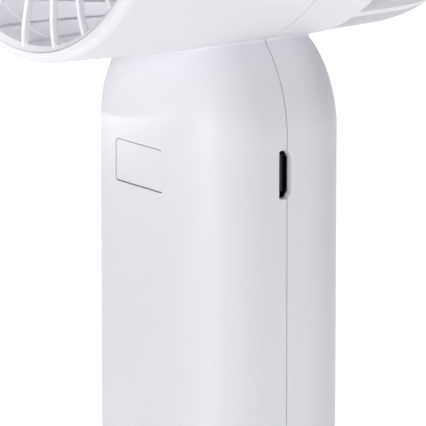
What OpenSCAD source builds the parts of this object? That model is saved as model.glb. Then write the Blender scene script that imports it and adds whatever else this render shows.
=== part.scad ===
// Handheld electric fan: a drum-shaped blower head that is one piece with its grip.
// Origin at the centre of the flat base, +Z up, -Y towards the air outlet,
// +X towards the side with the charging port. Millimetres.

/* [Grip] */
// width of the grip, side to side
handle_w = 35.7; // [30:0.1:42]
// depth of the grip, front to back
handle_d = 27.0; // [22:0.1:34]
// corner radius of the grip's section and of its round top
handle_r = 9.65; // [5:0.05:12]
// height of the centre of the grip's round top
dome_z = 98.7; // [80:0.1:120]
// height of the centre of the rounding at the base
foot_z = 6.0; // [2:0.5:12]
// wall thickness of both half shells
wall = 2.0; // [1.4:0.1:3]
// depth position of the seam between the half shells
seam_y = 0.55; // [-1:0.05:2]
// width of the seam gap
seam_gap = 0.12; // [0.05:0.01:0.3]

/* [Head] */
// height of the drum's axis
head_z = 150; // [120:1:180]
// largest radius of the drum
drum_r = 39.75; // [30:0.05:50]
// where along the axis the drum is widest, forward of the grip's middle
crown_z = 24; // [0:1:30]
// radius of the long side curve of the drum
barrel_r = 760; // [300:10:2000]
// where the rear shoulder begins, behind the grip's middle
shoulder_y = 18; // [14:0.5:22]
// radius of the rear shoulder
shoulder_r = 26; // [22:1:30]
// radius of the back's slight dome
back_r = 125; // [90:5:300]
// front lip of the drum, forward of the grip's middle
lip_z = 32.6; // [28:0.1:40]
// rear end of the drum, behind the grip's middle
back_z = 36.5; // [25:0.5:50]
// radius of the straight air duct
duct_r = 37.2; // [30:0.1:45]

/* [Rear intake] */
// number of intake slots
slot_n = 32; // [20:1:48]
// angular width of one slot
slot_deg = 8.4; // [4:0.1:9]
// where the slots begin, behind the grip's middle
slot_front = 11.7; // [5:0.1:20]
// inner radius of the slots on the back
slot_in_r = 20; // [10:0.5:30]

/* [Front guard] */
// number of guard ribs
rib_n = 27; // [15:1:40]
// width of a rib
rib_w = 0.8; // [0.6:0.1:3]
// depth of a rib
rib_d = 0.8; // [0.6:0.1:4]
// bend radius of the ribs beside the ring
rib_bend_r = 12; // [8:1:40]
// how far each rib turns away from the radius
rib_turn = 22; // [5:1:35]
// angle of the first rib from the bottom
rib_start = -1.2; // [-7:0.1:7]
// outer radius of the guard's hub
guard_hub_r = 18.5; // [10:0.5:25]

/* [Impeller] */
// number of blades
blade_n = 9; // [5:1:13]
// tip radius of the blades
tip_r = 35.8; // [28:0.1:36.5]
// outer radius of the impeller hub
hub_r = 13.6; // [10:0.1:18]
// angle of the blades to the plane of rotation
blade_pitch = 38; // [20:1:60]

/* [Power button] */
// width of the button
button_w = 13; // [8:0.1:18]
// height of the button
button_h = 6; // [4:0.1:10]
// height of the button's centre
button_z = 93.5; // [80:0.1:110]
// gap round the button
button_gap = 0.16; // [0.1:0.01:0.4]
// how far the button stands out; negative is recessed
button_proud = -0.15; // [-0.4:0.01:0.5]

/* [Charging port] */
// height of the port's centre
port_z = 93.55; // [80:0.05:110]
// length of the port's mouth
port_len = 6.9; // [5:0.1:9]
// width of the port's mouth
port_wid = 1.85; // [1:0.05:3]

/* [Hidden] */
hw = handle_w / 2;
hd = handle_d / 2;
big = 200;
// centre of the shoulder's arc, a hair inside the long side curve where they meet
shoulder_x = drum_r - barrel_r + sqrt(barrel_r ^ 2 - (crown_z + shoulder_y) ^ 2) - shoulder_r - 0.05;
// where the first intake slot begins, measured from the bottom
slot_start = 7.55;
// the circuit board: depth position of its middle, thickness, its two faces
board_y = -2.05;
board_t = 1.6;
board_front = board_y - board_t / 2;
board_back = board_y + board_t / 2;
board_z = 83.6;
board_h = 23.4;
board_screw_x = [-10, 10];
board_screw_z = [86.6, 104];
// seat of the guard's ring in the drum's mouth, the ring's two radii and the ribs' outer end
seat_r = 38.15;
seat_z = 26.8;
ring_out_r = seat_r - 0.05;
ring_in_r = duct_r + 0.1;
rib_end_r = ring_out_r - 0.1;
// the port: depth position, mouth and wall of its metal shell, margins of the housing's cut-out
// in front of the metal shell and round it
port_y = 0.19;
port_x = 16.9;
port_wall = 0.32;
port_lip = 0.1;
port_gap = port_wall + 0.08;
// the battery cell: radius, depth position, bottom and length
cell_r = 9.1;
cell_y = 1.2;
cell_z = 11.6;
cell_len = 65;
// where the housing's screws and the motor's screws are
post_x = 6.5;
post_z = [7.5, 80.3];
motor_screw_r = 9.2;

// ---- shared shapes ----

// moves children to the head: local +Z is forward, local +Y is up
module at_head() {
  translate([0, 0, head_z]) rotate([90, 0, 0]) children();
}

// rounded rectangle, centred
module rrect(w, d, r) {
  square([w - 2 * r, d], center = true);
  square([w, d - 2 * r], center = true);
  for (x = [-1, 1])
    for (y = [-1, 1])
      translate([x * (w / 2 - r), y * (d / 2 - r)]) circle(r, $fn = 72);
}

// right half of the grip's section, inset by o
module half_section(o) {
  intersection() {
    rrect(handle_w - 2 * o, handle_d - 2 * o, handle_r - o);
    translate([0, -hd]) square([hw + 1, handle_d]);
  }
}

// the grip as a solid, inset by o: straight bar, round top, rounded base
module grip(o) {
  translate([0, 0, foot_z])
    linear_extrude(height = dome_z - foot_z)
      rrect(handle_w - 2 * o, handle_d - 2 * o, handle_r - o);
  translate([0, 0, dome_z]) rotate([90, 0, 0])
    rotate_extrude(angle = 180, $fn = 96) half_section(o);
  intersection() {
    translate([0, 0, foot_z]) rotate([90, 0, 0]) rotate([0, 0, 180])
      rotate_extrude(angle = 180, $fn = 96) half_section(o);
    translate([-40, -40, o]) cube([80, 80, foot_z]);
  }
}

// side profile of the drum, inset by o (x = radius, y = forward)
module drum_profile(o) {
  intersection() {
    translate([drum_r - barrel_r, crown_z]) circle(barrel_r - o, $fn = 720);
    union() {
      translate([0, -shoulder_y]) square([drum_r + 1, shoulder_y + lip_z - o]);
      translate([shoulder_x, -shoulder_y]) circle(shoulder_r - o, $fn = 120);
      translate([0, -back_z - 1]) square([shoulder_x, back_z]);
    }
    translate([0, back_r - back_z]) circle(back_r - o, $fn = 360);
    translate([0, -back_z]) square([drum_r + 1, back_z + lip_z + 1]);
  }
}

// the drum as a solid of revolution, inset by o
module drum(o) {
  at_head() rotate_extrude($fn = 120) drum_profile(o);
}

// the rounded front lip left on the drum: everything outside this is cut away
module lip_cut() {
  at_head() rotate_extrude($fn = 120)
    polygon([[drum_r, lip_z - 1.5], [drum_r - 0.25, lip_z - 0.8], [drum_r - 0.8, lip_z - 0.2],
      [seat_r, lip_z], [seat_r, lip_z + 2], [drum_r + 3, lip_z + 2], [drum_r + 3, lip_z - 1.5]]);
}

// bore of the drum: straight duct, guard seat and the inside of the slotted rear cap
module drum_bore() {
  at_head() {
    rotate_extrude($fn = 120)
      polygon([[0, -12], [duct_r, -12], [duct_r, seat_z], [seat_r, seat_z], [seat_r, lip_z - 0.15],
        [seat_r + 0.2, lip_z + 0.1], [seat_r + 0.2, lip_z + 3], [0, lip_z + 3]]);
    rotate_extrude($fn = 120) intersection() {
      drum_profile(wall);
      translate([0, -back_z]) square([duct_r, back_z - 11]);
    }
  }
}

// the intake slots
module intake_slots() {
  at_head()
    for (i = [0 : slot_n - 1])
      rotate([0, 0, -90 + slot_start + i * 360 / slot_n])
        rotate_extrude(angle = slot_deg, $fn = 180)
          translate([slot_in_r, -60]) square([30, 60 - slot_front]);
}

// half space split at the seam; s = -1 in front, 1 behind, e shifts the cut
module half(s, e) {
  translate([-big / 2, s > 0 ? seam_y + e : seam_y + e - big, -20]) cube([big, big, 240]);
}

// both shells before they are split
module shell_solid() {
  difference() {
    grip(0);
    drum(1.0);
    difference() {
      grip(wall);
      drum(0);
    }
  }
  difference() {
    drum(0);
    drum_bore();
    lip_cut();
    intake_slots();
  }
}

// rounded button outline
module button_outline(g) {
  rrect(button_w + 2 * g, button_h + 2 * g, 0.6 + g);
}

// port outline: wide side to the front (y negative), narrow side to the rear; x = height
module port_outline(g) {
  l = port_len / 2 + g;
  w = port_wid / 2 + g;
  nick = 0.25;
  slant_l = 1.05;
  slant_w = 0.65;
  polygon([[-l, nick - w], [nick - l, -w], [l - nick, -w], [l, nick - w], [l, w - slant_w],
    [l - slant_l, w], [slant_l - l, w], [-l, w - slant_w]]);
}

// turns a port outline to face +X at the port's centre, from x = a to x = b
module port_bar(a, b, g) {
  translate([a, port_y, port_z]) rotate([0, -90, 0]) mirror([0, 0, 1])
    linear_extrude(height = b - a) port_outline(g);
}

// the port's cut-out in the housing: a lip round the mouth, and room for the metal shell behind it
module port_cut() {
  port_bar(12, 20, port_lip);
  port_bar(12, port_x + 0.05, port_gap);
}

// ---- housing ----

module front_shell() {
  color([0.93, 0.93, 0.95]) {
    difference() {
      union() {
        intersection() {
          shell_solid();
          half(-1, -seam_gap / 2);
        }
        for (x = [-1, 1])
          for (z = post_z)
            translate([x * post_x, seam_y - 1, z]) rotate([90, 0, 0])
              cylinder(r = 2.5, h = 11.2, $fn = 48);
        for (x = board_screw_x)
          for (z = board_screw_z)
            translate([x, board_front, z]) rotate([90, 0, 0]) cylinder(r = 1.9, h = 8.8, $fn = 36);
      }
      for (x = [-1, 1])
        for (z = post_z)
          translate([x * post_x, 3, z]) rotate([90, 0, 0]) cylinder(r = 0.85, h = 10.6, $fn = 32);
      for (x = board_screw_x)
        for (z = board_screw_z)
          translate([x, 0, z]) rotate([90, 0, 0]) cylinder(r = 0.75, h = 8, $fn = 32);
      translate([0, -9, button_z]) rotate([90, 0, 0])
        linear_extrude(height = 8) button_outline(button_gap);
      port_cut();
    }
  }
}

module rear_shell() {
  color([0.9, 0.9, 0.92]) {
    difference() {
      union() {
        intersection() {
          shell_solid();
          half(1, seam_gap / 2);
        }
        for (x = [-1, 1])
          for (z = post_z)
            translate([x * post_x, 11.8, z]) rotate([90, 0, 0])
              cylinder(r = 2.9, h = 11.8 - seam_y - 0.1, $fn = 48);
      }
      for (x = [-1, 1])
        for (z = post_z) {
          translate([x * post_x, 20, z]) rotate([90, 0, 0]) cylinder(r = 1.15, h = 20, $fn = 32);
          translate([x * post_x, 30, z]) rotate([90, 0, 0]) cylinder(r = 2.1, h = 30 - 6, $fn = 48);
        }
      port_cut();
      translate([0, 8, head_z - drum_r - 6]) cylinder(r = 3.6, h = 12, $fn = 48);
    }
  }
}

// ---- front guard ----

// one rib in plan, pointing outwards along +X: an arc beside the ring, then a straight run inwards,
// which starts inside the arc and is a hair narrower
module rib_plan() {
  reach = 2 * rib_bend_r;
  translate([rib_end_r, rib_bend_r]) {
    intersection() {
      difference() {
        circle(rib_bend_r + rib_w / 2, $fn = 180);
        circle(rib_bend_r - rib_w / 2, $fn = 180);
      }
      polygon([[0, 0], [0, -reach], [-reach * tan(rib_turn), -reach]]);
    }
    rotate(180 - rib_turn)
      translate([-0.3, rib_bend_r - rib_w / 2 + 0.01]) square([24.8, rib_w - 0.02]);
  }
}

// the slightly domed layer that the ribs fill, from the hub's rim to the ring
module guard_layer() {
  in_r = guard_hub_r - 0.9;
  end_r = rib_end_r + 0.05;
  rotate_extrude($fn = 120)
    polygon([[in_r, 33.7], [end_r, 32.1], [end_r, 32.1 - rib_d], [in_r, 33.7 - rib_d]]);
}

module front_guard() {
  color([0.91, 0.91, 0.94]) at_head() {
    intersection() {
      guard_layer();
      linear_extrude(height = 40)
        for (i = [0 : rib_n - 1])
          rotate(rib_start - 90 + i * 360 / rib_n) rib_plan();
    }
    rotate_extrude($fn = 120)
      polygon([[ring_in_r, seat_z + 0.1], [ring_out_r, seat_z + 0.1], [ring_out_r, lip_z - 0.1],
        [ring_in_r, lip_z - 0.8]]);
    rotate_extrude($fn = 96)
      polygon([[0, 31.2], [guard_hub_r, 31.0], [guard_hub_r, 33.2], [guard_hub_r - 0.5, 33.9],
        [guard_hub_r - 1.2, 34.1], [guard_hub_r - 1.2, 32.8], [0, 32.8]]);
  }
}

module guard_badge() {
  color([0.85, 0.86, 0.88]) at_head() intersection() {
    translate([0, 0, 32.85]) cylinder(r = guard_hub_r - 1.4, h = 3, $fn = 96);
    translate([0, 0, 34.6 - 160]) sphere(r = 160, $fn = 360);
  }
}

// ---- impeller and motor ----

// one blade: a cupped plate set at the blade angle, cut to a swept outline
module blade() {
  intersection() {
    difference() {
      cylinder(r = tip_r, h = 26, $fn = 120);
      translate([0, 0, -1]) cylinder(r = hub_r - 0.8, h = 30, $fn = 96);
    }
    translate([0, 0, 13.5]) rotate([blade_pitch, 0, 0]) translate([0, 0, 21])
      rotate([0, 90, 0]) rotate([0, 4, 0]) difference() {
        cylinder(r = 22.4, h = 40, $fn = 180);
        translate([0, 0, -1]) cylinder(r = 21, h = 42, $fn = 180);
        translate([-30, -30, -1]) cube([30, 60, 42]);
      }
    linear_extrude(height = 26) intersection() {
      translate([14, -30]) circle(38.5, $fn = 180);
      translate([26, 30]) circle(38.5, $fn = 180);
      translate([8, -20]) square([30, 40]);
    }
  }
}

module impeller() {
  color([0.88, 0.89, 0.92]) at_head() {
    translate([0, 0, 0.5]) for (i = [0 : blade_n - 1]) rotate(i * 360 / blade_n) blade();
    difference() {
      rotate_extrude($fn = 96)
        polygon([[0, 26.5], [6, 26.3], [10, 25.5], [12.4, 24], [hub_r, 21.5], [hub_r, 3], [0, 3]]);
      translate([0, 0, 2]) cylinder(r = 11.85, h = 20.2, $fn = 96);
      cylinder(r = 0.98, h = 25, $fn = 48);
    }
  }
}

module rotor_can() {
  color([0.6, 0.62, 0.65]) at_head() difference() {
    translate([0, 0, 3.6]) cylinder(r = 11.8, h = 18.4, $fn = 96);
    translate([0, 0, 3]) cylinder(r = 11.1, h = 17.8, $fn = 96);
    cylinder(r = 0.98, h = 30, $fn = 48);
    for (i = [0 : 5])
      rotate(i * 60) translate([6.6, 0, 18]) cylinder(r = 1.5, h = 8, $fn = 32);
  }
}

module magnet_ring() {
  color([0.25, 0.25, 0.27]) at_head() difference() {
    translate([0, 0, 4.4]) cylinder(r = 11.08, h = 12, $fn = 96);
    translate([0, 0, 4]) cylinder(r = 10.0, h = 13, $fn = 96);
  }
}

module motor_shaft() {
  color([0.75, 0.76, 0.78]) at_head() difference() {
    translate([0, 0, -5.5]) cylinder(r = 1.0, h = 30, $fn = 48);
    translate([0, 0, -4.6]) difference() {
      cylinder(r = 1.4, h = 0.5, $fn = 48);
      translate([0, 0, -0.1]) cylinder(r = 0.75, h = 0.7, $fn = 48);
    }
  }
}

module shaft_clip() {
  color([0.3, 0.3, 0.32]) at_head() translate([0, 0, -4.58]) difference() {
    cylinder(r = 2.1, h = 0.46, $fn = 48);
    translate([0, 0, -0.1]) cylinder(r = 0.77, h = 0.7, $fn = 48);
    translate([-0.55, 0, -0.1]) cube([1.1, 3, 0.7]);
  }
}

module stator_plan() {
  difference() {
    union() {
      circle(5.4, $fn = 72);
      for (i = [0 : 8])
        rotate(i * 40) {
          translate([4.6, -0.7]) square([4.4, 1.4]);
          intersection() {
            difference() {
              circle(9.55, $fn = 96);
              circle(8.7, $fn = 96);
            }
            translate([5, -2.6]) square([6, 5.2]);
          }
        }
    }
    circle(4.15, $fn = 72);
  }
}

module stator_core() {
  color([0.45, 0.45, 0.48]) at_head() translate([0, 0, 7]) linear_extrude(height = 7) stator_plan();
}

module stator_coils() {
  color([0.72, 0.42, 0.2]) at_head()
    for (i = [0 : 8])
      rotate(i * 40) difference() {
        translate([5.95, -1.5, 6.1]) cube([2.5, 3.0, 8.8]);
        translate([5.5, -0.75, 6.95]) cube([4, 1.5, 7.1]);
      }
}

module bearing(z0) {
  translate([0, 0, z0]) difference() {
    cylinder(r = 3.0, h = 2.5, $fn = 72);
    translate([0, 0, -0.1]) cylinder(r = 1.05, h = 2.7, $fn = 48);
    for (z = [-0.1, 2.3])
      translate([0, 0, z]) difference() {
        cylinder(r = 2.5, h = 0.3, $fn = 64);
        translate([0, 0, -0.1]) cylinder(r = 1.6, h = 0.5, $fn = 48);
      }
  }
}

module bearing_front() {
  color([0.7, 0.7, 0.72]) at_head() bearing(13.9);
}

module bearing_rear() {
  color([0.7, 0.7, 0.72]) at_head() bearing(0.2);
}

module motor_base() {
  color([0.62, 0.63, 0.66]) at_head() difference() {
    union() {
      translate([0, 0, -1.4]) cylinder(r = 12.6, h = 1.6, $fn = 96);
      translate([0, 0, -1.4]) cylinder(r = 4.1, h = 17.9, $fn = 72);
    }
    translate([0, 0, 0.15]) cylinder(r = 3.02, h = 20, $fn = 72);
    translate([0, 0, -3]) cylinder(r = 1.8, h = 8, $fn = 48);
    for (i = [0 : 2])
      rotate(90 + i * 120) translate([motor_screw_r, 0, -2]) cylinder(r = 1.1, h = 4, $fn = 36);
    rotate(-90) translate([motor_screw_r, 0, -2]) cylinder(r = 2.4, h = 4, $fn = 36);
  }
}

module motor_board() {
  color([0.1, 0.35, 0.2]) at_head() difference() {
    translate([0, 0, 1.6]) cylinder(r = 10.6, h = 1.0, $fn = 96);
    translate([0, 0, 1]) cylinder(r = 4.25, h = 3, $fn = 72);
    for (i = [0 : 2])
      rotate(90 + i * 120) translate([motor_screw_r, 0, 1]) cylinder(r = 2.2, h = 3, $fn = 36);
  }
}

module screw_m2(h) {
  difference() {
    union() {
      translate([0, 0, -h]) cylinder(r = 0.95, h = h + 0.1, $fn = 32);
      cylinder(r = 1.9, h = 1.2, $fn = 40);
    }
    translate([-1.2, -0.25, 0.6]) cube([2.4, 0.5, 1]);
    translate([-0.25, -1.2, 0.6]) cube([0.5, 2.4, 1]);
  }
}

module motor_screws() {
  color([0.5, 0.5, 0.53]) at_head()
    for (i = [0 : 2])
      rotate(90 + i * 120) translate([motor_screw_r, 0, 0.22]) screw_m2(5.2);
}

// ring, hub and swept vanes in plan
module vane_plan() {
  difference() {
    circle(37.1, $fn = 120);
    circle(36.2, $fn = 120);
  }
  circle(14.2, $fn = 96);
  intersection() {
    circle(36.6, $fn = 120);
    union() {
      for (i = [0 : 6])
        rotate(90 + (i + 0.5) * 360 / 7) translate([12, -44]) difference() {
          circle(45.2, $fn = 240);
          circle(43.8, $fn = 240);
          translate([-100, -50]) square([100, 100]);
        }
      translate([-3.4, -38]) square([6.8, 30]);
    }
  }
}

module vane_ring() {
  color([0.86, 0.87, 0.9]) at_head() difference() {
    translate([0, 0, -10.4]) linear_extrude(height = 10.6) vane_plan();
    translate([0, 0, -0.8]) difference() {
      cylinder(r = 40, h = 3, $fn = 120);
      translate([0, 0, -1]) cylinder(r = 14.2, h = 5, $fn = 96);
    }
    translate([0, 0, -1.45]) cylinder(r = 12.7, h = 3, $fn = 96);
    translate([0, 0, -11.5]) cylinder(r = 12.4, h = 5.6, $fn = 96);
    translate([0, 0, -12]) cylinder(r = 2.6, h = 14, $fn = 48);
    for (i = [0 : 2])
      rotate(90 + i * 120) translate([motor_screw_r, 0, -8]) cylinder(r = 0.8, h = 8, $fn = 32);
    translate([-2.3, -40, -9.4]) cube([4.6, 34, 3.4]);
    translate([-2.3, -11.5, -9.4]) cube([4.6, 4.6, 12]);
  }
}

// ---- battery ----

module battery_cell() {
  color([0.25, 0.45, 0.7]) {
    translate([0, cell_y, cell_z]) cylinder(r = cell_r, h = cell_len - 1.6, $fn = 96);
    translate([0, cell_y, cell_z + cell_len - 1.6]) cylinder(r = 7.2, h = 0.5, $fn = 96);
  }
}

module battery_cap() {
  color([0.8, 0.81, 0.83]) translate([0, cell_y, cell_z + cell_len - 1.1]) {
    cylinder(r = 3.4, h = 1.1, $fn = 64);
    cylinder(r = 5.2, h = 0.3, $fn = 64);
  }
}

module battery_pads() {
  color([0.2, 0.2, 0.22]) {
    translate([0, 0.2, cell_z - 0.42]) cylinder(r = 5.5, h = 0.4, $fn = 48);
    translate([-4, 10.33, 26]) cube([8, 1.1, 14]);
    translate([-4, 10.33, 52]) cube([8, 1.1, 14]);
  }
}

module battery_cradle() {
  color([0.84, 0.85, 0.88]) difference() {
    union() {
      translate([-11.4, -9.6, 13]) cube([22.8, 9.6, 5]);
      translate([-11.4, -9.6, 66]) cube([22.8, 9.6, 5]);
      translate([-6, -11.35, 11]) cube([12, 3.0, 60]);
      translate([-8, -11.35, cell_z - 1.05]) cube([16, 18, 0.6]);
    }
    translate([0, cell_y, cell_z - 0.4]) cylinder(r = cell_r + 0.12, h = 90, $fn = 96);
  }
}

// ---- electronics ----

module main_board() {
  color([0.08, 0.32, 0.2]) translate([0, board_y, 0]) difference() {
    union() {
      translate([-12.5, -board_t / 2, board_z]) cube([25, board_t, board_h]);
      translate([12, -board_t / 2, 86.5]) cube([2.6, board_t, 13.5]);
    }
    for (x = board_screw_x)
      for (z = board_screw_z)
        translate([x, 5, z]) rotate([90, 0, 0]) cylinder(r = 1.1, h = 10, $fn = 32);
  }
}

module board_screws() {
  color([0.5, 0.5, 0.53])
    for (x = board_screw_x)
      for (z = board_screw_z)
        translate([x, board_back + 0.02, z]) rotate([-90, 0, 0]) screw_m2(4.6);
}

module switch_body() {
  color([0.15, 0.15, 0.16]) difference() {
    translate([-3, board_front - 3.5, button_z - 3]) cube([6, 3.48, 6]);
    translate([0, board_front - 1.2, button_z]) rotate([90, 0, 0]) cylinder(r = 1.82, h = 3, $fn = 48);
  }
}

module switch_plunger() {
  color([0.7, 0.68, 0.6]) translate([0, board_front - 2.1, button_z]) rotate([90, 0, 0])
    cylinder(r = 1.75, h = 3.2, $fn = 48);
}

module power_button() {
  color([0.92, 0.92, 0.94]) {
    translate([0, -10.9, button_z]) rotate([90, 0, 0])
      linear_extrude(height = hd + button_proud - 10.9) button_outline(0);
    translate([-button_w / 2 - 0.8, -11.1, button_z - button_h / 2 - 0.8])
      cube([button_w + 1.6, 0.8, button_h + 1.6]);
    translate([0, board_front - 5.6, button_z]) rotate([90, 0, 0])
      cylinder(r = 1.5, h = 10.9 - 8.45, $fn = 40);
  }
}

module chip(x, z, w, h, t) {
  translate([x - w / 2, board_back + 0.02, z - h / 2]) cube([w, t, h]);
}

module control_chips() {
  color([0.12, 0.12, 0.13]) {
    chip(-5, 90.5, 5, 4, 1.5);
    chip(3, 87.5, 4, 3.5, 1.4);
    chip(-6, 99, 3, 3, 1.1);
  }
}

module boost_inductor() {
  color([0.3, 0.3, 0.32]) {
    translate([3.5, board_back + 0.02, 98.5]) rotate([-90, 0, 0]) cylinder(r = 3.4, h = 0.6, $fn = 64);
    translate([3.5, board_back + 0.5, 98.5]) rotate([-90, 0, 0]) cylinder(r = 2.4, h = 2.6, $fn = 64);
    translate([3.5, board_back + 2.9, 98.5]) rotate([-90, 0, 0]) cylinder(r = 3.4, h = 0.6, $fn = 64);
  }
}

module board_capacitors() {
  color([0.75, 0.68, 0.5]) {
    chip(-0.5, 93, 1.2, 2.0, 1.0);
    chip(-10, 91, 1.2, 2.0, 1.0);
    chip(7.4, 89.5, 2.0, 1.2, 1.0);
    chip(7.4, 92.5, 2.0, 1.2, 1.0);
  }
}

module status_led() {
  color([0.9, 0.95, 1.0]) translate([6.2, board_front - 1.12, button_z + 3.5]) cube([1.6, 1.1, 0.8]);
}

module usb_shell() {
  color([0.78, 0.79, 0.8]) difference() {
    port_bar(11.8, port_x, port_wall);
    port_bar(12.3, 20, 0.0);
  }
}

module usb_tongue() {
  color([0.08, 0.08, 0.09]) {
    translate([12.32, port_y - 0.1, port_z - 2.6]) cube([3.9, 0.62, 5.2]);
    port_bar(12.32, 13.2, -0.05);
  }
}

module usb_contacts() {
  pitch = 0.65;
  color([0.85, 0.68, 0.3])
    for (i = [-2 : 2])
      translate([13.22, port_y - 0.28, port_z + i * pitch - 0.15]) cube([2.7, 0.17, 0.3]);
}

// ---- wiring ----

// a round wire from point a to point b, with a rounded end at b
module wire(a, b, r) {
  d = b - a;
  translate(a) rotate([0, atan2(norm([d[0], d[1]]), d[2]), atan2(d[1], d[0])]) {
    cylinder(r = r, h = norm(d), $fn = 24);
    translate([0, 0, norm(d)]) sphere(r = r, $fn = 24);
  }
}

// wires through a list of points
module wires(points, r) {
  for (i = [0 : len(points) - 2])
    wire(points[i], points[i + 1], r);
}

module motor_leads() {
  r = 0.55;
  color([0.75, 0.15, 0.12])
    for (x = [-1.3, 0, 1.3]) {
      translate([x, 7.6, 106.5]) cylinder(r = r, h = 34.3, $fn = 24);
      translate([x, 7.6, 140.8]) sphere(r = r, $fn = 24);
      translate([x, 7.6, 140.8]) rotate([90, 0, 0]) cylinder(r = r, h = 9, $fn = 24);
      translate([x, 7.6, 106.5]) sphere(r = r, $fn = 24);
      translate([x, 7.6, 106.5]) rotate([90, 0, 0]) cylinder(r = r, h = 3.4, $fn = 24);
      translate([x, 4.2, 106.5]) sphere(r = r, $fn = 24);
      translate([x, 4.2, 104]) cylinder(r = r, h = 2.5, $fn = 24);
      translate([x, 4.2, 104]) sphere(r = r, $fn = 24);
      translate([x, 4.2, 104]) rotate([90, 0, 0]) cylinder(r = r, h = 4.8, $fn = 24);
    }
}

module battery_leads() {
  top = cell_z + cell_len + 0.05;
  color([0.1, 0.1, 0.1]) {
    translate([0, cell_y, top]) cylinder(r = 0.6, h = 9, $fn = 24);
    wires([[0, cell_y, top + 8], [0, cell_y, top + 9], [0, -0.6, top + 9]], 0.6);
    wires([[-11.2, cell_y, 13], [-11.2, cell_y, 94], [-11.2, -0.6, 94]], 0.6);
  }
}

// ---- fasteners ----

module housing_screws() {
  color([0.5, 0.5, 0.53])
    for (x = [-1, 1])
      for (z = post_z)
        translate([x * post_x, 6.02, z]) rotate([-90, 0, 0]) screw_m2(12);
}

module screw_plugs() {
  color([0.9, 0.9, 0.92])
    for (x = [-1, 1])
      for (z = post_z)
        translate([x * post_x, hd - 0.25, z]) rotate([90, 0, 0]) cylinder(r = 2.04, h = 3.4, $fn = 48);
}

front_shell();
rear_shell();
front_guard();
guard_badge();
impeller();
rotor_can();
magnet_ring();
motor_shaft();
shaft_clip();
stator_core();
stator_coils();
bearing_front();
bearing_rear();
motor_base();
motor_board();
motor_screws();
vane_ring();
battery_cell();
battery_cap();
battery_pads();
battery_cradle();
main_board();
board_screws();
switch_body();
switch_plunger();
power_button();
control_chips();
boost_inductor();
board_capacitors();
status_led();
usb_shell();
usb_tongue();
usb_contacts();
motor_leads();
battery_leads();
housing_screws();
screw_plugs();
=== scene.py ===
"""Looks of the handheld electric fan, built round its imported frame. Metres, +Z up, -Y is the air outlet."""

import math

import bmesh
import bpy
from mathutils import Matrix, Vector


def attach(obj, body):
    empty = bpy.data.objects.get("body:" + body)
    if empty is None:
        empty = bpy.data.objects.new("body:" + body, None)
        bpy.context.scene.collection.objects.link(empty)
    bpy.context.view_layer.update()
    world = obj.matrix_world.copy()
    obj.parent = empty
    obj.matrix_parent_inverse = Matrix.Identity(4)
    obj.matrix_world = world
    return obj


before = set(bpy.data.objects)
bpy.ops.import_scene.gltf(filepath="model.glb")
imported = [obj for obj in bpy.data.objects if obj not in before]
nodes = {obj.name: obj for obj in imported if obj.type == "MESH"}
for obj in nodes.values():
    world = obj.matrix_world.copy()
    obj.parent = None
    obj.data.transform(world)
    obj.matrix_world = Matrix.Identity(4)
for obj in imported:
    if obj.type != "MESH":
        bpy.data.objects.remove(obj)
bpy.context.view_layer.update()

# ---- camera ----
VIEW_AZIMUTH = math.radians(58.0)
VIEW_ELEVATION = math.radians(10.92)
VIEW_DISTANCE = 0.62375
VIEW_HEIGHT = 0.0851
VIEW_SIDE_STEP = -0.00071
LENS_MM = 359.2
SENSOR_MM = 36.0


def add_camera():
    """A long lens at the fan's front right, a little above it."""
    back = Vector((math.sin(VIEW_AZIMUTH) * math.cos(VIEW_ELEVATION),
                   -math.cos(VIEW_AZIMUTH) * math.cos(VIEW_ELEVATION),
                   math.sin(VIEW_ELEVATION)))
    right = Vector((math.cos(VIEW_AZIMUTH), math.sin(VIEW_AZIMUTH), 0.0))
    data = bpy.data.cameras.new("camera")
    data.lens = LENS_MM
    data.sensor_width = SENSOR_MM
    data.clip_start = 0.01
    data.clip_end = 50.0
    camera = bpy.data.objects.new("camera", data)
    camera.location = Vector((0, 0, VIEW_HEIGHT)) + back * VIEW_DISTANCE + right * VIEW_SIDE_STEP
    camera.rotation_euler = (-back).to_track_quat("-Z", "Y").to_euler()
    bpy.context.scene.collection.objects.link(camera)
    bpy.context.scene.camera = camera


add_camera()

# ---- material building ----
# height of the head's axis
HEAD_HEIGHT = 0.150


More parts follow.
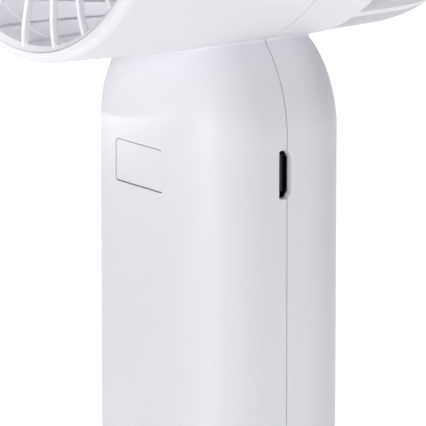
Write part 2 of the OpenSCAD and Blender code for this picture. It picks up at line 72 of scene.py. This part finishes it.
class Shader:
    """A node material: small helpers that add nodes and join them to the surface shader."""

    def __init__(self, name):
        self.material = bpy.data.materials.new(name)
        self.material.use_nodes = True
        self.tree = self.material.node_tree
        self.surface = self.tree.nodes["Principled BSDF"]
        self.place = self.tree.nodes.new("ShaderNodeTexCoord").outputs["Object"]

    def node(self, kind, inputs=None, **settings):
        made = self.tree.nodes.new(kind)
        for key, value in settings.items():
            setattr(made, key, value)
        for key, value in (inputs or {}).items():
            self.fill(made.inputs[key], value)
        return made

    def fill(self, socket, value):
        if hasattr(value, "is_output"):
            self.tree.links.new(value, socket)
        else:
            socket.default_value = value

    def noise(self, scale, detail=3.0, rough=0.5, place=None):
        made = self.node("ShaderNodeTexNoise", {"Vector": place or self.place, "Scale": scale,
                                                "Detail": detail, "Roughness": rough})
        return made.outputs["Fac"]

    def stretched(self, factors):
        return self.node("ShaderNodeMapping", {"Vector": self.place, "Scale": factors}).outputs["Vector"]

    def remap(self, value, low, high, new_low, new_high):
        made = self.node("ShaderNodeMapRange", {"Value": value, "From Min": low, "From Max": high,
                                                "To Min": new_low, "To Max": new_high})
        return made.outputs["Result"]

    def math(self, operation, first, second=0.0):
        made = self.node("ShaderNodeMath", operation=operation)
        self.fill(made.inputs[0], first)
        self.fill(made.inputs[1], second)
        return made.outputs[0]

    def axis(self, letter):
        return self.node("ShaderNodeSeparateXYZ", {"Vector": self.place}).outputs[letter]

    def from_head_axis(self):
        """Distance from the head's axis, which runs along Y."""
        side = self.axis("X")
        rise = self.math("SUBTRACT", self.axis("Z"), HEAD_HEIGHT)
        across = self.math("MULTIPLY", side, side)
        along = self.math("MULTIPLY", rise, rise)
        return self.math("SQRT", self.math("ADD", across, along))

    def ridges(self, value, pitch):
        """Rounded ridges, one every pitch metres of value, from 0 to 1."""
        wave = self.math("SINE", self.math("MULTIPLY", value, 2 * math.pi / pitch))
        return self.remap(wave, -1.0, 1.0, 0.0, 1.0)

    def blend(self, factor, first, second):
        made = self.node("ShaderNodeMix", data_type="RGBA")
        for socket, value in ((0, factor), (6, first), (7, second)):
            self.fill(made.inputs[socket], value)
        return made.outputs[2]

    def mottled(self, colour, scale, darker, lighter):
        """The colour with soft clouds between two of its shades."""
        cloud = self.remap(self.noise(scale, 4.0), 0.3, 0.7, 0.0, 1.0)
        return self.blend(cloud, shaded(colour, darker), shaded(colour, lighter))

    def bump(self, height, depth, strength=1.0, below=None):
        inputs = {"Height": height, "Distance": depth, "Strength": strength}
        if below is not None:
            inputs["Normal"] = below
        return self.node("ShaderNodeBump", inputs).outputs["Normal"]

    def soft_edge(self, radius):
        """The normal with edges rounded off, as a mould leaves them."""
        return self.node("ShaderNodeBevel", {"Radius": radius}, samples=6).outputs["Normal"]

    def join(self, **sockets):
        for key, value in sockets.items():
            self.fill(self.surface.inputs[key.replace("_", " ")], value)
        return self.material


def rgba(r, g, b):
    return (r, g, b, 1.0)


def shaded(colour, factor):
    return rgba(*(min(1.0, c * factor) for c in colour[:3]))


def moulded(name, colour, rough=0.42, grain=0.000012, edge=0.00014, dust=0.3):
    """Injection-moulded plastic: spark-eroded grain, flow clouds, softened edges and a few dust specks."""
    s = Shader(name)
    tint = s.mottled(colour, 38.0, 0.985, 1.012)
    speck = s.remap(s.noise(1300.0, 1.0), 0.80, 0.83, 0.0, dust)
    tint = s.blend(speck, tint, shaded(colour, 0.5))
    grains = s.noise(5200.0, 3.0, 0.6)
    normal = s.bump(s.noise(120.0, 2.0), 0.00003, 0.5, s.soft_edge(edge))
    normal = s.bump(grains, grain, 1.0, normal)
    gloss = s.remap(grains, 0.3, 0.7, rough - 0.04, rough + 0.05)
    return s.join(Base_Color=tint, Roughness=gloss, Normal=normal, IOR=1.53)


def metal(name, colour, rough=0.3, lines=(1.0, 1.0, 1.0)):
    """Turned, drawn or plated metal: fine directional lines and a little unevenness in the gloss."""
    s = Shader(name)
    scratch = s.noise(900.0, 6.0, 0.65, s.stretched(lines))
    tint = s.mottled(colour, 140.0, 0.9, 1.06)
    gloss = s.remap(scratch, 0.25, 0.75, rough * 0.75, rough * 1.35)
    normal = s.bump(scratch, 0.00001, 0.6, s.soft_edge(0.0001))
    return s.join(Base_Color=tint, Metallic=1.0, Roughness=gloss, Normal=normal)


def turned(name, colour, rough=0.28):
    """Metal turned about the head's axis: rings of tool marks."""
    s = Shader(name)
    rings = s.math("ADD", s.ridges(s.from_head_axis(), 0.00023), s.ridges(s.axis("Y"), 0.00031))
    tint = s.mottled(colour, 160.0, 0.92, 1.05)
    gloss = s.remap(s.noise(700.0, 4.0), 0.3, 0.7, rough * 0.8, rough * 1.3)
    return s.join(Base_Color=tint, Metallic=1.0, Roughness=gloss, Normal=s.bump(rings, 0.000004, 0.7))


def windings(name):
    """Enamelled copper wire: one ridge a turn, laid round each tooth from the hub outwards, with painted
    shade darkening the grooves between turns.
    """
    s = Shader(name)
    turns_and_groove_shade = s.ridges(s.from_head_axis(), 0.00036)
    # painted shade: dark brown in the grooves between turns, bright copper on the crests
    tint = s.blend(turns_and_groove_shade, rgba(0.22, 0.06, 0.02), rgba(0.78, 0.34, 0.13))
    tint = s.blend(s.remap(s.noise(420.0), 0.3, 0.7, 0.0, 0.35), tint, rgba(0.5, 0.16, 0.05))
    return s.join(Base_Color=tint, Metallic=0.85, Roughness=s.remap(turns_and_groove_shade, 0, 1, 0.45, 0.22),
                  Normal=s.bump(turns_and_groove_shade, 0.00012, 1.0), Coat_Weight=0.5, Coat_Roughness=0.12)


def laminations(name):
    """Stacked steel sheets with thin dark lines between them."""
    s = Shader(name)
    sheets = s.ridges(s.axis("Y"), 0.0005)
    tint = s.blend(s.remap(sheets, 0.0, 0.25, 1.0, 0.0), rgba(0.42, 0.42, 0.44), rgba(0.05, 0.045, 0.04))
    tint = s.blend(s.remap(s.noise(300.0), 0.35, 0.7, 0.0, 0.4), tint, rgba(0.25, 0.2, 0.17))
    return s.join(Base_Color=tint, Metallic=0.9, Roughness=0.42, Normal=s.bump(sheets, 0.00005, 0.8))


def circuit_board(name):
    """Green solder mask over copper tracks, with bare solder dots."""
    s = Shader(name)
    stood = s.node("ShaderNodeMapping", {"Vector": s.place, "Rotation": (math.pi / 2, 0, 0)})
    flat = stood.outputs["Vector"]
    tracks = s.node("ShaderNodeTexBrick", {"Vector": flat, "Scale": 260.0, "Mortar Size": 0.03,
                                           "Color1": rgba(0, 0, 0), "Color2": rgba(0.15, 0.15, 0.15),
                                           "Mortar": rgba(1, 1, 1)}).outputs["Fac"]
    dots = s.node("ShaderNodeTexVoronoi", {"Vector": flat, "Scale": 520.0, "Randomness": 0.7})
    solder = s.remap(dots.outputs["Distance"], 0.10, 0.13, 1.0, 0.0)
    tint = s.blend(tracks, rgba(0.012, 0.12, 0.045), rgba(0.03, 0.22, 0.08))
    tint = s.blend(s.remap(s.noise(60.0), 0.3, 0.7, 0, 0.25), tint, rgba(0.02, 0.08, 0.03))
    tint = s.blend(solder, tint, rgba(0.6, 0.6, 0.58))
    height = s.math("ADD", tracks, solder)
    return s.join(Base_Color=tint, Roughness=s.remap(solder, 0, 1, 0.34, 0.2),
                  Metallic=solder, Normal=s.bump(height, 0.00003, 0.8))


def sleeve(name, colour):
    """Shrink sleeve round the cell: glossy film with fine wrinkles across it."""
    s = Shader(name)
    wrinkle = s.noise(260.0, 4.0, 0.6, s.stretched((1.0, 1.0, 3.5)))
    tint = s.mottled(colour, 90.0, 0.92, 1.08)
    return s.join(Base_Color=tint, Roughness=0.26, Normal=s.bump(wrinkle, 0.00005, 0.7),
                  Coat_Weight=0.4, Coat_Roughness=0.08)


def rubbery(name, colour, rough=0.6):
    """Soft insulation or foam: a fine pitted skin that scatters light softly."""
    s = Shader(name)
    pits = s.noise(2600.0, 4.0, 0.65)
    tint = s.mottled(colour, 220.0, 0.8, 1.2)
    return s.join(Base_Color=tint, Roughness=s.remap(pits, 0.3, 0.7, rough - 0.1, rough + 0.1),
                  Normal=s.bump(pits, 0.00003, 0.9), Sheen_Weight=0.15)


def ceramic(name, colour, rough=0.3):
    """Fired or sintered material: speckled, with a faint skin gloss."""
    s = Shader(name)
    speckle = s.noise(3800.0, 5.0, 0.7)
    tint = s.blend(s.remap(speckle, 0.35, 0.65, 0.0, 1.0), shaded(colour, 0.78), shaded(colour, 1.18))
    return s.join(Base_Color=tint, Roughness=s.remap(speckle, 0.3, 0.7, rough, rough + 0.15),
                  Normal=s.bump(speckle, 0.000015, 0.8))


def resin(name, colour):
    """Clear cast resin over a phosphor, for the indicator lamp."""
    s = Shader(name)
    tint = s.mottled(colour, 900.0, 0.9, 1.05)
    return s.join(Base_Color=tint, Roughness=0.12, Subsurface_Weight=0.3, Subsurface_Scale=0.0006,
                  Normal=s.bump(s.noise(1200.0), 0.00001, 0.5))


# ---- materials for every node ----
WHITE = rgba(0.865, 0.865, 0.905)
# painted light: a lighter copy of the shell white for the impeller and vane ring, lifting the shaded inside
# of the duct
WHITE_LIFTED_INNER = rgba(0.88, 0.885, 0.915)
STEEL = rgba(0.62, 0.62, 0.64)
BLACK = rgba(0.02, 0.02, 0.022)

shell_white = moulded("shell_white", WHITE)
# the inner parts' lighter white is painted light for the shaded duct, not a different plastic
inner_white_lifted = moulded("inner_white_lifted", WHITE_LIFTED_INNER, 0.38, 0.000008, 0.00012, 0.0)
natural_white = moulded("natural_white", rgba(0.70, 0.70, 0.69), 0.5, 0.00002, 0.0001, 0.0)
black_plastic = moulded("black_plastic", BLACK, 0.4, 0.00001, 0.00008, 0.0)
screw_zinc = metal("screw_zinc", STEEL, 0.34)
board_green = circuit_board("board_green")
bearing_steel = turned("bearing_steel", rgba(0.68, 0.68, 0.7), 0.2)

MATERIALS = {
    "front_shell": shell_white,
    "rear_shell": shell_white,
    "front_guard": moulded("guard_white", WHITE, 0.4, 0.00001, 0.00012, 0.2),
    "guard_badge": moulded("badge_satin", rgba(0.55, 0.555, 0.58), 0.45, 0.000006, 0.0001, 0.0),
    "impeller": inner_white_lifted,
    "vane_ring": inner_white_lifted,
    "battery_cradle": natural_white,
    "power_button": moulded("button_white", WHITE, 0.36, 0.000008, 0.0001, 0.2),
    "screw_plugs": moulded("plug_white", shaded(WHITE, 0.985), 0.44, 0.000012, 0.0001, 0.1),
    "rotor_can": turned("can_steel", STEEL, 0.3),
    "magnet_ring": ceramic("ferrite_magnet", rgba(0.07, 0.07, 0.075), 0.4),
    "motor_shaft": turned("shaft_steel", rgba(0.72, 0.72, 0.74), 0.16),
    "shaft_clip": metal("spring_steel", rgba(0.2, 0.2, 0.21), 0.3),
    "stator_core": laminations("laminations"),
    "stator_coils": windings("windings"),
    "bearing_front": bearing_steel,
    "bearing_rear": bearing_steel,
    "motor_base": metal("die_cast", rgba(0.58, 0.59, 0.61), 0.42),
    "motor_board": board_green,
    "main_board": board_green,
    "motor_screws": screw_zinc,
    "board_screws": screw_zinc,
    "housing_screws": screw_zinc,
    "battery_cell": sleeve("cell_sleeve", rgba(0.05, 0.17, 0.38)),
    "battery_cap": metal("cell_nickel", rgba(0.7, 0.69, 0.66), 0.24),
    "battery_pads": rubbery("foam_pads", rgba(0.05, 0.05, 0.055), 0.8),
    "switch_body": black_plastic,
    "switch_plunger": moulded("plunger_cream", rgba(0.68, 0.65, 0.55), 0.4, 0.00001, 0.0001, 0.0),
    "control_chips": moulded("chip_epoxy", rgba(0.03, 0.03, 0.033), 0.5, 0.00001, 0.00006, 0.0),
    "boost_inductor": ceramic("ferrite_core", rgba(0.10, 0.10, 0.105), 0.45),
    "board_capacitors": ceramic("capacitor_body", rgba(0.45, 0.32, 0.18), 0.28),
    "status_led": resin("lamp_resin", rgba(0.88, 0.86, 0.6)),
    "usb_shell": metal("port_nickel", rgba(0.72, 0.72, 0.73), 0.22, (0.2, 1.0, 1.0)),
    "usb_tongue": moulded("port_black", BLACK, 0.35, 0.000006, 0.00005, 0.0),
    "usb_contacts": metal("contact_gold", rgba(0.9, 0.64, 0.22), 0.2),
    "motor_leads": rubbery("lead_red", rgba(0.45, 0.02, 0.02), 0.42),
    "battery_leads": rubbery("lead_black", rgba(0.02, 0.02, 0.022), 0.42),
}


def paint(node, material):
    """Gives a node of the frame one material."""
    mesh = nodes[node].data
    mesh.materials.clear()
    mesh.materials.append(material)


for name in nodes:
    paint(name, MATERIALS[name])

# ---- fillet between the drum and the grip's round top ----
# the round top: height of its centre, half width, half depth of its flat middle, corner radius
DOME_HEIGHT = 0.0987
GRIP_HALF_WIDTH = 0.01785
GRIP_FLAT_HALF_DEPTH = 0.00385
GRIP_CORNER = 0.00965
# the drum: largest radius, radius of its long side curve and where it is widest
DRUM_RADIUS = 0.03975
DRUM_SIDE_ARC = 0.760
DRUM_CROWN_Y = -0.024
# the seam between the shells, and half its gap
SEAM_Y = 0.00055
SEAM_HALF_GAP = 0.00006
# the fillet: radius at the seam and at its ends, its half length, its lift off the shells, how far
# behind its arc it closes, in radii, and the least angle of a sharp edge
FILLET_RADIUS = 0.00035
FILLET_END_RADIUS = 0.00005
FILLET_END_Y = 0.0125
FILLET_LIFT = 0.000003
FILLET_BACK = 2.2
FILLET_SHARP_ANGLE = math.radians(50)
FILLET_ROWS = 40
FILLET_STEPS = 10


def drum_radius(y):
    """The drum's outer radius at a depth y."""
    return DRUM_RADIUS - DRUM_SIDE_ARC + math.sqrt(DRUM_SIDE_ARC ** 2 - (y - DRUM_CROWN_Y) ** 2)


def dome_radius(y):
    """The round top's radius at a depth y."""
    past = max(0.0, abs(y) - GRIP_FLAT_HALF_DEPTH)
    return GRIP_HALF_WIDTH - GRIP_CORNER + math.sqrt(GRIP_CORNER ** 2 - past ** 2)


def fillet_section(y, side):
    """Points of one slice: the arc from the round top to the drum, then the crease behind it."""
    radius = FILLET_RADIUS * math.sqrt(max(0.0, 1.0 - (y / FILLET_END_Y) ** 2)) + FILLET_END_RADIUS
    drum = drum_radius(y) + FILLET_LIFT
    dome = dome_radius(y) + FILLET_LIFT
    apart = HEAD_HEIGHT - DOME_HEIGHT
    reach = dome + radius
    lean = math.acos((reach ** 2 + apart ** 2 - (drum + radius) ** 2) / (2 * apart * reach))
    centre = Vector((math.sin(lean), math.cos(lean))) * reach
    to_dome = -centre.normalized()
    to_drum = (Vector((0.0, apart)) - centre).normalized()
    turn = to_dome.angle(to_drum)
    across = (to_drum - to_dome * to_drum.dot(to_dome)).normalized()
    points = []
    for i in range(FILLET_STEPS + 1):
        angle = turn * i / FILLET_STEPS
        points.append(centre + radius * (to_dome * math.cos(angle) + across * math.sin(angle)))
    inward = (to_dome + to_drum).normalized()
    points.append(centre + inward * radius * FILLET_BACK)
    return [Vector((side * p.x, y, DOME_HEIGHT + p.y)) for p in points]


def add_fillet(name, first_y, last_y, body):
    """A concave strip on each side of the grip's top, closed behind, tangent to both surfaces."""
    verts, faces = [], []
    for side in (-1, 1):
        start = len(verts)
        count = FILLET_STEPS + 2
        for row in range(FILLET_ROWS + 1):
            share = 0.5 - 0.5 * math.cos(math.pi * row / FILLET_ROWS)
            verts.extend(fillet_section(first_y + (last_y - first_y) * share, side))
        for row in range(FILLET_ROWS):
            for i in range(count):
                a = start + row * count + i
                b = start + row * count + (i + 1) % count
                faces.append((a, b, b + count, a + count))
        faces.append(tuple(start + i for i in range(count)))
        faces.append(tuple(start + FILLET_ROWS * count + i for i in range(count)))
    mesh = bpy.data.meshes.new(name)
    mesh.from_pydata([tuple(v) for v in verts], [], faces)
    work = bmesh.new()
    work.from_mesh(mesh)
    bmesh.ops.recalc_face_normals(work, faces=work.faces)
    work.to_mesh(mesh)
    work.free()
    for face in mesh.polygons:
        face.use_smooth = True
    mesh.set_sharp_from_angle(angle=FILLET_SHARP_ANGLE)
    mesh.materials.append(moulded(name, WHITE, edge=0.0))
    piece = bpy.data.objects.new(name, mesh)
    bpy.context.scene.collection.objects.link(piece)
    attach(piece, body)


add_fillet("front_neck_fillet", -FILLET_END_Y, SEAM_Y - SEAM_HALF_GAP, "housing")
add_fillet("rear_neck_fillet", SEAM_Y + SEAM_HALF_GAP, FILLET_END_Y, "housing")

# ---- floor and light ----
FLOOR_REACH = 6.0
# what the lamps are turned to: the fan's middle, and the lower part of the air outlet
AIM = (0.0, 0.0, 0.11)
MOUTH = (-0.005, -0.03, 0.135)


def add_floor():
    """A plain pale floor."""
    mesh = bpy.data.meshes.new("floor")
    corners = [(x * FLOOR_REACH, y * FLOOR_REACH, 0) for x, y in ((-1, -1), (1, -1), (1, 1), (-1, 1))]
    mesh.from_pydata(corners, [], [(0, 1, 2, 3)])
    floor = bpy.data.objects.new("floor", mesh)
    bpy.context.scene.collection.objects.link(floor)
    s = Shader("floor_paint")
    tint = s.blend(s.noise(3.0, 2.0), rgba(0.94, 0.94, 0.94), rgba(0.96, 0.96, 0.96))
    mesh.materials.append(s.join(Base_Color=tint, Roughness=0.9))


def add_light(name, place, target, size, watts):
    """A round soft box."""
    data = bpy.data.lights.new(name, "AREA")
    data.shape = "DISK"
    data.size = size
    data.energy = watts
    hang(name, data, place, target)


def add_snoot(name, place, target, cone, watts, softness):
    """A lamp in a tube, which lights only what is round its target."""
    data = bpy.data.lights.new(name, "SPOT")
    data.spot_size = math.radians(cone)
    data.spot_blend = 0.6
    data.shadow_soft_size = softness
    data.energy = watts
    hang(name, data, place, target)


def hang(name, data, place, target):
    """Puts a lamp at its place, turned to its target."""
    light = bpy.data.objects.new(name, data)
    light.location = place
    light.rotation_euler = (Vector(target) - Vector(place)).to_track_quat("-Z", "Y").to_euler()
    bpy.context.scene.collection.objects.link(light)


def add_world(strength):
    """Even, slightly cool light from all round."""
    world = bpy.data.worlds.new("studio")
    world.use_nodes = True
    sky = world.node_tree.nodes["Background"]
    sky.inputs["Color"].default_value = rgba(0.97, 0.975, 1.0)
    sky.inputs["Strength"].default_value = strength
    bpy.context.scene.world = world


add_floor()
add_world(0.28)
add_light("low_key", (0.7, -1.2, 0.12), AIM, 0.5, 7.2)
add_light("side", (1.35, -0.35, 0.35), AIM, 0.7, 0.6)
add_light("top", (0.0, 0.1, 2.2), (0, 0, 0), 2.0, 26.6)
add_light("far_floor", (-1.3, 0.8, 1.8), (-1.3, 0.8, 0), 1.4, 27.0)
add_snoot("mouth_lamp", (0.45, -1.1, 0.75), MOUTH, 1.4, 135.0, 0.02)
bpy.context.scene.view_settings.view_transform = "Standard"
